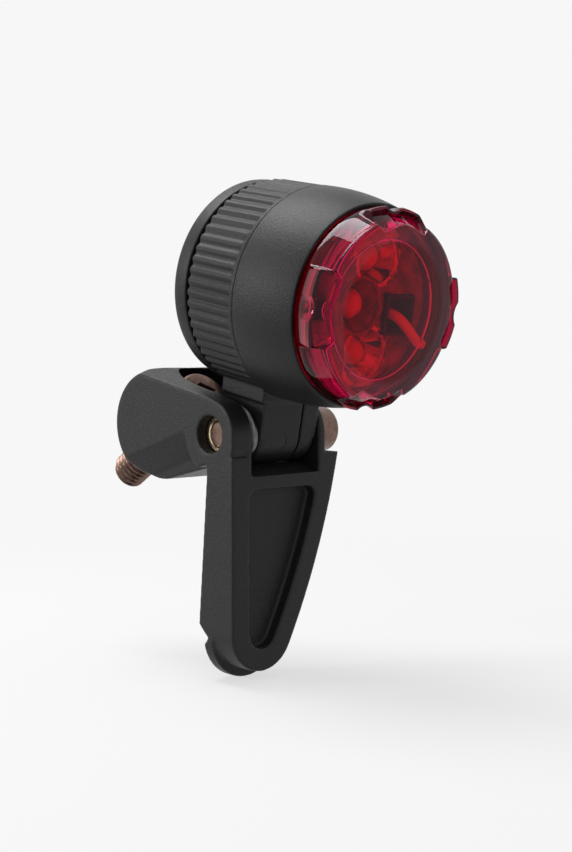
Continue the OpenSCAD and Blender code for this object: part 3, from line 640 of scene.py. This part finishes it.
def make_reflector():
    """Metallised upper and lower bowls in a darker field."""
    rings, wall, above_floor = 96, 1, 0.2
    rim_in = REFLECTOR_R - wall
    rim = [(REFLECTOR_R, REFLECTOR_FRONT), (REFLECTOR_R, BOARD_FRONT), (rim_in, BOARD_FRONT),
           (rim_in, REFLECTOR_FLOOR), (0, REFLECTOR_FLOOR)]

    def profile(angle):
        front = []
        for k in range(rings):
            r = REFLECTOR_R * k / rings
            front.append((r, reflector_height(r * math.cos(angle), r * math.sin(angle))))
        return front + rim

    bm = bmesh.new()
    polar(bm, LAMP, profile, spread(REFLECTOR_SIDES), closed=False)
    made = piece("reflector_bowls", bm, ["reflector"], sharp=18)
    made.data.materials.append(FIELD)
    back = LAMP.inverted()
    for face in made.data.polygons:
        u, v, s = back @ face.center
        bowl = in_bowl(u, v)
        bright = bowl and bowl[2] != MIDDLE_BOWL and s > REFLECTOR_FLOOR + above_floor
        face.material_index = 0 if bright else 1
    return made


def make_leds():
    """Domed emitters on their flanges."""
    flange_w, flange_h, steps = 0.4, 1.0, 10
    flange_r, shoulder = LED_R + flange_w, LED_H - LED_R
    profile = [(0, 0), (flange_r, 0), (flange_r, flange_h), (LED_R, flange_h)]
    for k in range(steps):
        t = QUARTER * k / steps
        profile.append((LED_R * math.cos(t), shoulder + LED_R * math.sin(t)))
    profile.append((0, LED_H))
    bm = bmesh.new()
    for u, v in LED_PLACES:
        place = LAMP @ Matrix.Translation((u, v, BOARD_FRONT))
        polar(bm, place, lambda a: profile, spread(LED_SIDES), closed=False)
    return piece("emitters", bm, ["leds"])


def make_light_guide():
    """A clear rod from the socket's floor, bent over towards the rim of the lens."""
    radius, lean_out, lean_down, bend = 0.8, 3.4, 3.9, 0.25
    foot_s, tip_gap, bend_steps, sides = -0.6, 0.4, 6, 24
    foot = Vector((*SOCKET_AT, foot_s))
    knee = Vector((*SOCKET_AT, REFLECTOR_FRONT - radius))
    tip = Vector((SOCKET_AT[0] + lean_out, SOCKET_AT[1] - lean_down, PLATE - tip_gap - radius))
    low, high = knee.lerp(foot, bend), knee.lerp(tip, bend)
    curve = [low.lerp(knee, t).lerp(knee.lerp(high, t), t) for t in spaced(0, 1, bend_steps)]
    path = [foot, *curve, tip]
    sizes = [radius] * len(path)
    ahead = (tip - path[-2]).normalized()
    for degrees in (25, 50, 70, 85):
        path.append(tip + ahead * radius * math.sin(math.radians(degrees)))
        sizes.append(radius * math.cos(math.radians(degrees)))
    bm = bmesh.new()
    rings = []
    for i, point in enumerate(path):
        along = (path[min(i + 1, len(path) - 1)] - path[max(i - 1, 0)]).normalized()
        turn = along.to_track_quat("Z", "Y").to_matrix()
        ring = []
        for a in spread(sides):
            off = turn @ Vector((sizes[i] * math.cos(a), sizes[i] * math.sin(a), 0))
            ring.append(bm.verts.new(LAMP @ (point + off)))
        rings.append(ring)
    tube(bm, rings)
    return piece("light_guide_rod", bm, ["light_guide"])


# Bolts and hinge hardware

def thread(start, end, outer, pitch, angle, depth):
    """A right-hand thread's (radius, station) points along one side, with a flat crest and root."""
    steps_a_turn, steepness, root = 10, 1.25, 0.05
    count = int((end - start) / pitch * steps_a_turn)
    points = []
    for k in range(count + 1):
        s = start + (end - start) * k / count
        phase = (s / pitch - angle / TAU) % 1
        tooth = min(max(steepness * (1 - abs(2 * phase - 1)) - root, 0), 1)
        points.append((outer - depth * (1 - tooth), s))
    return points


def socket_head(angle, key, head_r, top, neck, depth):
    """A cap head's section at an angle, from the middle of its hexagon socket out to its underside."""
    rim, crown, crown_steps = 0.25, 0.6, 4
    drill, floor_share, floor_edge, under_edge = 0.5, 0.94, 0.15, 0.2
    side, floor = hex_radius(angle, key), top + depth
    points = [(0, floor + drill), (side * floor_share, floor), (side, floor - floor_edge),
              (side, top + rim), (side + rim, top), (head_r - crown, top)]
    for k in range(1, crown_steps + 1):
        t = QUARTER * k / crown_steps
        points.append((head_r - crown + crown * math.sin(t), top + crown * (1 - math.cos(t))))
    return points + [(head_r, neck - under_edge), (head_r - under_edge, neck)]


def make_mounting_bolt():
    """The M6 bolt with its thread, and the washer under its head."""
    socket_depth, shank_end, thread_start, thread_depth = 3.0, -0.6, -0.4, 0.55
    chamfer, tip_in, tip_back = 0.6, 0.2, 0.1
    tip_r = BOLT_R - chamfer

    def profile(angle):
        points = socket_head(angle, BOLT_KEY, BOLT_HEAD_R, BOLT_HEAD, BOLT_NECK, socket_depth)
        points += [(SHANK_R, BOLT_NECK), (SHANK_R, shank_end)]
        points += thread(thread_start, BOLT_TIP - chamfer, BOLT_R, BOLT_PITCH, angle, thread_depth)
        return points + [(tip_r, BOLT_TIP - tip_back), (tip_r - tip_in, BOLT_TIP), (0, BOLT_TIP)]

    bm = bmesh.new()
    polar(bm, BOLT, profile, spread(BOLT_SIDES), closed=False)
    piece("mounting_bolt_m6", bm, ["mounting_bolt"], sharp=30)
    washer = section(BOLT_R + SLIP, WASHER_R, BOLT_NECK, WASHER_TOP)
    turned("bolt_washer_ring", BOLT, washer, ["bolt_washer"], radius=0.25, count=BOLT_SIDES)


def make_pivot_screw():
    """The M4 screw across the hinge, with its head on the right."""
    socket_depth, chamfer = 2.3, 0.3

    def profile(angle):
        head = socket_head(angle, PIVOT_KEY, PIVOT_HEAD_R, PIVOT_NECK, PIVOT_TOP, socket_depth)
        points = [(r, PIVOT_TOP + PIVOT_NECK - s) for r, s in head]
        points += [(PIVOT_R, PIVOT_NECK), (PIVOT_R, PIVOT_END + chamfer)]
        return points + [(PIVOT_R - chamfer, PIVOT_END), (0, PIVOT_END)]

    bm = bmesh.new()
    polar(bm, PIVOT, profile, spread(BOLT_SIDES), closed=False)
    return piece("pivot_screw_m4", bm, ["pivot_screw"], sharp=30)


def make_insert():
    """The threaded insert, with a knurled edge at its open end."""
    teeth, steps_a_tooth, knurl = 22, 8, 0.14
    chamfer, bore_chamfer, knurl_l, plain_start = 0.15, 0.12, 0.9, 1.0
    bore = PIVOT_R + SLIP

    def profile(angle):
        rim = INSERT_R - knurl * wave(angle, TAU / teeth)
        return [(bore, PIVOT_END + chamfer), (bore + bore_chamfer, PIVOT_END), (rim - chamfer, PIVOT_END),
                (rim, PIVOT_END + chamfer), (rim, PIVOT_END + knurl_l), (INSERT_R, PIVOT_END + plain_start),
                (INSERT_R, NOTCH_LEFT), (bore, NOTCH_LEFT)]

    bm = bmesh.new()
    polar(bm, PIVOT, profile, spread(teeth * steps_a_tooth))
    return piece("pivot_insert_knurled", bm, ["pivot_insert"], sharp=30)


def make_spring_washer():
    """The dished washer between the left cheek and the knuckle."""
    hub_gap, leaf, rim, height, taper = 0.1, 0.7, 4.45, 2.05, 0.05
    hub = PIVOT_R + hub_gap
    outline = [(hub, 0), (hub + leaf, 0), (rim, height - leaf + taper), (rim, height), (rim - leaf, height),
               (hub, leaf)]
    outline = [(r, NOTCH_LEFT + s) for r, s in outline]
    return turned("hinge_spring_ring", PIVOT, outline, ["hinge_spring_washer"], count=BOLT_SIDES)


def make_hinge_saddle():
    """The hollow floor of the bracket's notch, close under the knuckle and clear of its neck when tilted."""
    sunk, knuckle_gap, hollow_steps = 0.05, 0.08, 8
    left, right, floor = NOTCH_LEFT - sunk, NOTCH_RIGHT + sunk, -NOTCH_DEPTH - sunk
    front, middle, back = -2.6, -0.3, 0.65
    reach, neck_swing, step, ramp = KNUCKLE_R + knuckle_gap, 4.95, 0.4, 2.0
    outline = [(y, -math.sqrt(reach ** 2 - y ** 2)) for y in spaced(back, middle, hollow_steps)]
    outline += [(middle - step, -neck_swing), (front, -neck_swing), (front - ramp, floor), (back, floor)]
    bm = bmesh.new()
    tube(bm, [[bm.verts.new(HINGE @ Vector((x, *point))) for point in outline] for x in (left, right)])
    return piece("hinge_saddle", bm, ["bracket"], instead=False)


def make_moulding_mark():
    """The arc that a mould pin leaves on the front of the knuckle."""
    middle_x, middle_z, mark_r, line_r = -2.1, -1.25, 1.4, 0.06
    first, last, steps, sides = 70, -100, 28, 8
    bm = bmesh.new()
    rings = []
    for turn in spaced(first, last, steps):
        a = math.radians(turn)
        out = Vector((math.cos(a), 0, math.sin(a)))
        x, z = middle_x + mark_r * out.x, middle_z + mark_r * out.z
        middle = Vector((x, -math.sqrt(KNUCKLE_R ** 2 - z ** 2), z))
        ring = []
        for b in spread(sides):
            off = line_r * (out * math.cos(b) + Vector((0, math.sin(b), 0)))
            ring.append(bm.verts.new(HINGE @ (middle + off)))
        rings.append(ring)
    tube(bm, rings)
    return piece("moulding_mark", bm, ["mount_band"], instead=False)


def dress_cad_nodes():
    """Materials for the nodes that keep their CAD mesh, and soft edges on the moulded ones."""
    for entry in frame["record"]["subparts"]:
        mesh = frame["nodes"][entry["node"]].data
        mesh.materials.clear()
        mesh.materials.append(MATERIALS[entry["material_slot"]])
    soften("bracket", voxel=0.16, passes=22)
    soften("mount_band", voxel=0.15, passes=13)


# Floor, light and camera

BACKDROP = 0.93
# Each softbox's place from the lamp in metres, its width and height, and its radiance
SOFTBOXES = {
    "top_softbox": ((-0.05, 0.13, 0.38), 0.22, 0.28, 9.0),
    "side_softbox": ((-0.41, 0.26, 0.10), 0.12, 0.14, 19.0),
}


def grey(level):
    """A neutral colour."""
    return level, level, level, 1


def showing(tree):
    """One for the rays that show the backdrop: to the camera, off a gloss, or through glass."""
    path = add(tree, "ShaderNodeLightPath")
    either = add(tree, "ShaderNodeMath", {"operation": "MAXIMUM"})
    each = add(tree, "ShaderNodeMath", {"operation": "MAXIMUM"})
    tree.links.new(path.outputs["Is Camera Ray"], either.inputs[0])
    tree.links.new(path.outputs["Is Glossy Ray"], either.inputs[1])
    tree.links.new(either.outputs[0], each.inputs[0])
    tree.links.new(path.outputs["Is Transmission Ray"], each.inputs[1])
    return each.outputs[0]


def floor_surface():
    """Matt to the light; where it shows, its shading is partly kept and fades out into the backdrop."""
    keep, light_level = 0.22, 1.3
    near, far = 0.05, 0.2
    made = bpy.data.materials.new("pale_floor")
    made.use_nodes = True
    tree = made.node_tree
    tree.nodes.clear()
    matt = add(tree, "ShaderNodeBsdfDiffuse", Color=grey(keep))
    glow = add(tree, "ShaderNodeEmission", Color=grey(BACKDROP - keep * light_level))
    both = add(tree, "ShaderNodeAddShader")
    even = add(tree, "ShaderNodeEmission", Color=grey(BACKDROP))
    coords = add(tree, "ShaderNodeTexCoord")
    length = add(tree, "ShaderNodeVectorMath", {"operation": "LENGTH"})
    fade = add(tree, "ShaderNodeMapRange", {"interpolation_type": "SMOOTHSTEP"}, From_Min=near, From_Max=far)
    shown = add(tree, "ShaderNodeMixShader")
    choose = add(tree, "ShaderNodeMixShader")
    out = add(tree, "ShaderNodeOutputMaterial")
    tree.links.new(matt.outputs[0], both.inputs[0])
    tree.links.new(glow.outputs[0], both.inputs[1])
    tree.links.new(coords.outputs["Object"], length.inputs[0])
    tree.links.new(length.outputs["Value"], fade.inputs["Value"])
    tree.links.new(fade.outputs["Result"], shown.inputs["Fac"])
    tree.links.new(both.outputs[0], shown.inputs[1])
    tree.links.new(even.outputs[0], shown.inputs[2])
    tree.links.new(showing(tree), choose.inputs["Fac"])
    tree.links.new(matt.outputs[0], choose.inputs[1])
    tree.links.new(shown.outputs[0], choose.inputs[2])
    tree.links.new(choose.outputs[0], out.inputs["Surface"])
    return made


def make_floor():
    """A pale floor that keeps the object's soft shadow and meets the backdrop unseen."""
    half_width, segments = 3.0, 8
    bm = bmesh.new()
    bmesh.ops.create_grid(bm, x_segments=segments, y_segments=segments, size=half_width)
    mesh = bpy.data.meshes.new("floor")
    bm.to_mesh(mesh)
    bm.free()
    mesh.materials.append(floor_surface())
    floor = bpy.data.objects.new("floor", mesh)
    floor.location = (cad_box[0] + cad_box[1]) / 2
    floor.location.z = cad_box[0].z
    bpy.context.scene.collection.objects.link(floor)


def make_world():
    """White to the camera, in metal and through glass, and a softer even light on the object."""
    soft_level = 0.5
    world = bpy.data.worlds.new("studio")
    world.use_nodes = True
    bpy.context.scene.world = world
    tree = world.node_tree
    tree.nodes.clear()
    soft = add(tree, "ShaderNodeBackground", Color=grey(1), Strength=soft_level)
    white = add(tree, "ShaderNodeBackground", Color=grey(BACKDROP))
    choose = add(tree, "ShaderNodeMixShader")
    out = add(tree, "ShaderNodeOutputWorld")
    tree.links.new(showing(tree), choose.inputs["Fac"])
    tree.links.new(soft.outputs[0], choose.inputs[1])
    tree.links.new(white.outputs[0], choose.inputs[2])
    tree.links.new(choose.outputs[0], out.inputs["Surface"])


def make_softbox(name, where, width, height, radiance):
    """A flat lamp of a given radiance that faces the lamp body."""
    light = bpy.data.lights.new(name, "AREA")
    light.shape = "RECTANGLE"
    light.size = width
    light.size_y = height
    light.energy = radiance * math.pi * width * height
    made = bpy.data.objects.new(name, light)
    made.location = LAMP.translation + Vector(where)
    made.rotation_euler = Vector(where).to_track_quat("Z", "Y").to_euler()
    bpy.context.scene.collection.objects.link(made)


def make_camera():
    """The photograph's view: 852 pixels high, with a focal length of 1350 pixels."""
    picture_height, focal_length, sensor = 852, 1350, 36
    target_from_pivot, distance = Vector((-5.73, -9.783, 1.437)), 200
    back = Vector((-0.6870, -0.7246, 0.0541)).normalized()
    data = bpy.data.cameras.new("photo_view")
    data.sensor_fit = "VERTICAL"
    data.sensor_height = sensor
    data.lens = sensor * focal_length / picture_height
    eye = bpy.data.objects.new("photo_view", data)
    eye.location = PIVOT.translation + target_from_pivot * MM + back * distance * MM
    eye.rotation_euler = back.to_track_quat("Z", "Y").to_euler()
    bpy.context.scene.collection.objects.link(eye)
    bpy.context.scene.camera = eye


dress_cad_nodes()
make_barrel()
make_rear_cap()
make_seals()
make_lens()
make_reflector()
make_leds()
make_light_guide()
make_mounting_bolt()
make_pivot_screw()
make_insert()
make_spring_washer()
make_hinge_saddle()
make_moulding_mark()
make_floor()
make_world()
for box_name, box_values in SOFTBOXES.items():
    make_softbox(box_name, *box_values)
make_camera()
bpy.context.scene.view_settings.view_transform = "Standard"
